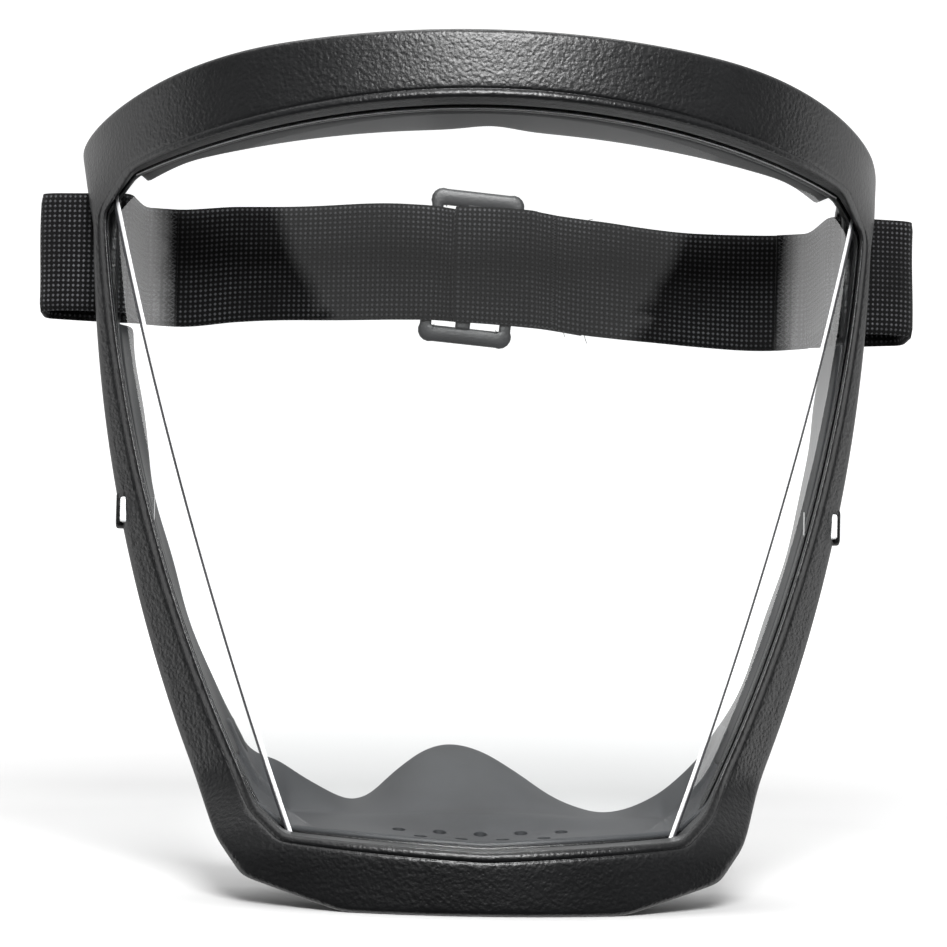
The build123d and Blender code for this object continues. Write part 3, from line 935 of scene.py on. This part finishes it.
def thread_curve(name, runs, body, replaced=(), radius=0.16):
    """Rows of stitching, as fine round threads."""
    curve = bpy.data.curves.new(name, "CURVE")
    curve.dimensions = "3D"
    curve.bevel_depth = radius * MM
    curve.bevel_resolution = 2
    for run in runs:
        spline = curve.splines.new("POLY")
        spline.points.add(len(run) - 1)
        for point, place in zip(spline.points, run):
            point.co = (*place, 1)
    obj = bpy.data.objects.new(name, curve)
    bpy.context.scene.collection.objects.link(obj)
    obj.data.materials.append(THREAD)
    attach(obj, body)
    if replaced:
        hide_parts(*replaced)
    return obj


def bar_tack(side):
    """Wavy zigzag stitching that holds the webbing's end down."""
    name = side_name(side) + "_bar_tack"
    low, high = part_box(name)
    runs = []
    depth = low.y / MM - FRONT + 0.12
    for column in range(3):
        run = []
        x = mix(low.x / MM + 0.8, high.x / MM - 0.8, column / 2)
        for n in range(90):
            z = mix(low.z / MM, high.z / MM, n / 89)
            run.append(at(x + 0.7 * math.sin(n * 1.25 + column), depth, z + strap_shift(x)))
        runs.append(run)
    return thread_curve(name + "_thread", runs, "strap", [name])


def fold_seam():
    low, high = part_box("fold_seam")
    depth = low.y / MM - FRONT + 0.15
    run = []
    for n in range(80):
        z = mix(low.z / MM, high.z / MM, n / 79)
        run.append(at((low.x + high.x) / 2 / MM + 0.45 * (-1) ** n, depth, z + strap_shift(20)))
    return thread_curve("fold_seam_thread", [run], "slider", ["fold_seam"])


def loose_threads():
    """A few thread ends left at the webbing's cut ends."""
    dice = random.Random(4)
    runs = []
    for x, z in ((26.5, STRAP_LOW + 0.5), (32.5, STRAP_LOW + STRAP_TALL - 0.5), (33.0, STRAP_LOW + 1.0)):
        run = []
        place = Vector((x, STRAP_DEPTH + 4.2, z + strap_shift(x)))
        heading = Vector((0.6, 0.1, -0.5 if z < STRAP_MIDDLE else 0.4))
        for _ in range(7):
            run.append(at(*place))
            heading += Vector((dice.uniform(-0.3, 0.3), dice.uniform(-0.1, 0.1), dice.uniform(-0.3, 0.2)))
            place = place + heading * 0.5
        runs.append(run)
    return thread_curve("loose_threads", runs, "slider", radius=0.1)


# ---------------------------------------------------------------- floor, light and camera

def world_light():
    """A studio: broad light overhead and in front, light behind and at the sides, dark low in front."""
    world = bpy.data.worlds.new("studio")
    bpy.context.scene.world = world
    world.use_nodes = True
    tree = world.node_tree
    shader = tree.nodes["Background"]
    parts = tree.nodes.new("ShaderNodeSeparateXYZ")
    tree.links.new(tree.nodes.new("ShaderNodeTexCoord").outputs["Generated"], parts.inputs["Vector"])
    x, y, z = (parts.outputs[n] for n in "XYZ")
    front = math_node(tree, "MULTIPLY", y, -1.0)
    azimuth = math_node(tree, "ARCTAN2", math_node(tree, "ABSOLUTE", x), front)
    square = math_node(tree, "MULTIPLY", azimuth, azimuth)
    edge = math_node(tree, "ADD", math_node(tree, "MULTIPLY", square, 0.115), 0.035)
    above = math_node(tree, "MULTIPLY", math_node(tree, "SUBTRACT", z, edge), 60.0, clamp=True)
    narrow = math_node(tree, "MULTIPLY", math_node(tree, "SUBTRACT", 1.13, azimuth), 30.0, clamp=True)
    soft_box = math_node(tree, "MULTIPLY", above, narrow)
    sides = math_node(tree, "MULTIPLY", math_node(tree, "SUBTRACT", azimuth, 1.38), 8.0, clamp=True)
    rear = math_node(tree, "MULTIPLY", math_node(tree, "SUBTRACT", azimuth, 1.80), 8.0, clamp=True)
    panels = math_node(tree, "SUBTRACT", sides, rear)
    height = math_node(tree, "MAXIMUM", z, 0.0)
    fade = math_node(tree, "SUBTRACT", 1.0, math_node(tree, "MULTIPLY", height, 3.5))
    panels = math_node(tree, "MULTIPLY", panels, math_node(tree, "MAXIMUM", fade, 0.3))
    box_level = math_node(tree, "MULTIPLY", soft_box, 0.4)
    level = math_node(tree, "ADD", box_level, math_node(tree, "MULTIPLY", panels, 2.8))
    level = math_node(tree, "ADD", level, math_node(tree, "MULTIPLY", rear, 0.9))
    level = math_node(tree, "ADD", level, 0.02)
    tree.links.new(level, shader.inputs["Strength"])
    shader.inputs["Color"].default_value = (1, 1, 1, 1)


def area_light(name, place, target, size, power):
    data = bpy.data.lights.new(name, "AREA")
    data.shape = "RECTANGLE"
    data.size, data.size_y = size
    data.energy = power
    obj = bpy.data.objects.new(name, data)
    obj.location = place
    obj.rotation_euler = (Vector(target) - Vector(place)).to_track_quat("-Z", "Y").to_euler()
    bpy.context.scene.collection.objects.link(obj)
    return obj


def pale_material(name, level, glow):
    material, tree, shader = nodes_of(name)
    cloud = noise_node(tree, 3.0, 2.0, object_place(tree))
    colour = ramp(tree, cloud, [(0.3, (level, level, level)), (0.7, (level * 0.99,) * 3)])
    tree.links.new(colour, shader.inputs["Base Color"])
    shader.inputs["Roughness"].default_value = 0.9
    shader.inputs["Specular IOR Level"].default_value = 0.1
    shader.inputs["Emission Color"].default_value = (1, 1, 1, 1)
    reach = tree.nodes.new("ShaderNodeVectorMath")
    reach.operation = "LENGTH"
    tree.links.new(object_place(tree), reach.inputs[0])
    away = math_node(tree, "SUBTRACT", reach.outputs["Value"], 0.25, clamp=True)
    tree.links.new(math_node(tree, "MULTIPLY", away, glow), shader.inputs["Emission Strength"])
    return material


def stage():
    """A pale floor that rises into a pale wall all round; it is left out of the reflections."""
    profile = [(0.0, 0.0), (0.5, 0.0), (1.2, 0.0), (1.6, 0.03), (1.95, 0.18), (2.15, 0.5),
               (2.2, 1.0), (2.2, 3.0)]
    sides = 96
    verts = []
    for radius, z in profile:
        for n in range(sides):
            a = 2 * math.pi * n / sides
            verts.append((max(radius, 0.001) * math.cos(a), max(radius, 0.001) * math.sin(a), z - 0.00005))
    mesh = bpy.data.meshes.new("backdrop")
    faces = grid_faces(len(profile), sides, False, True) + [tuple(reversed(range(sides)))]
    mesh.from_pydata(verts, [], faces)
    for polygon in mesh.polygons:
        polygon.use_smooth = True
    floor = bpy.data.objects.new("backdrop", mesh)
    bpy.context.scene.collection.objects.link(floor)
    mesh.materials.append(pale_material("pale_floor", 0.56, 0.9))
    floor.visible_glossy = False
    floor.visible_diffuse = False
    floor.visible_shadow = False


def camera():
    yaw, pitch, roll = math.radians(3.46), math.radians(2.37), math.radians(1.337)
    ahead = Vector((math.sin(yaw) * math.cos(pitch), math.cos(yaw) * math.cos(pitch), math.sin(pitch)))
    level = Vector((math.cos(yaw), -math.sin(yaw), 0))
    upright = level.cross(ahead)
    right = math.cos(roll) * level + math.sin(roll) * upright
    up = -math.sin(roll) * level + math.cos(roll) * upright
    data = bpy.data.cameras.new("camera")
    data.sensor_width = 36.0
    data.lens = 90.2
    obj = bpy.data.objects.new("camera", data)
    turn = Matrix((right, up, -ahead)).transposed().to_4x4()
    obj.matrix_world = Matrix.Translation(at(-44.1, -632.0, 91.5)) @ turn
    bpy.context.scene.collection.objects.link(obj)
    bpy.context.scene.camera = obj


bpy.context.scene.view_settings.view_transform = "Standard"
camera()
world_light()
stage()
area_light("top_light", at(-100, 150, 1200), at(0, 60, 0), (1.2, 0.8), 10.0)
area_light("brow_light", at(20, -760, 640), at(0, 20, 230), (0.34, 0.3), 18.0)

outer_frame()
for side in (-1, 1):
    lug(side)
    boss(side)
    snap_tab(side)
    cheek_skirt(side)
    bar_tack(side)
    name = side_name(side)
    # painted shade and painted highlight strips along each lens fold
    crease(side, name + "_crease_shadow", 0.25, 0.75, CREASE_PAINTED_SHADE)
    crease(side, name + "_crease_painted_highlight", -0.75, 1.1, PAINTED_HIGHLIGHT)
frame["nodes"]["lens"].data.materials.clear()
frame["nodes"]["lens"].data.materials.append(CLEAR)
lens_rim()
brow_skirt()
cut_vents(cup_skirt())
strap()
slider()
fold_seam()
loose_threads()

for obj in bpy.context.scene.objects:
    if obj.type == "MESH" and obj.name in frame["nodes"] and obj.name != "lens":
        obj.data.materials.clear()
        obj.data.materials.append(FRAME_PLASTIC)
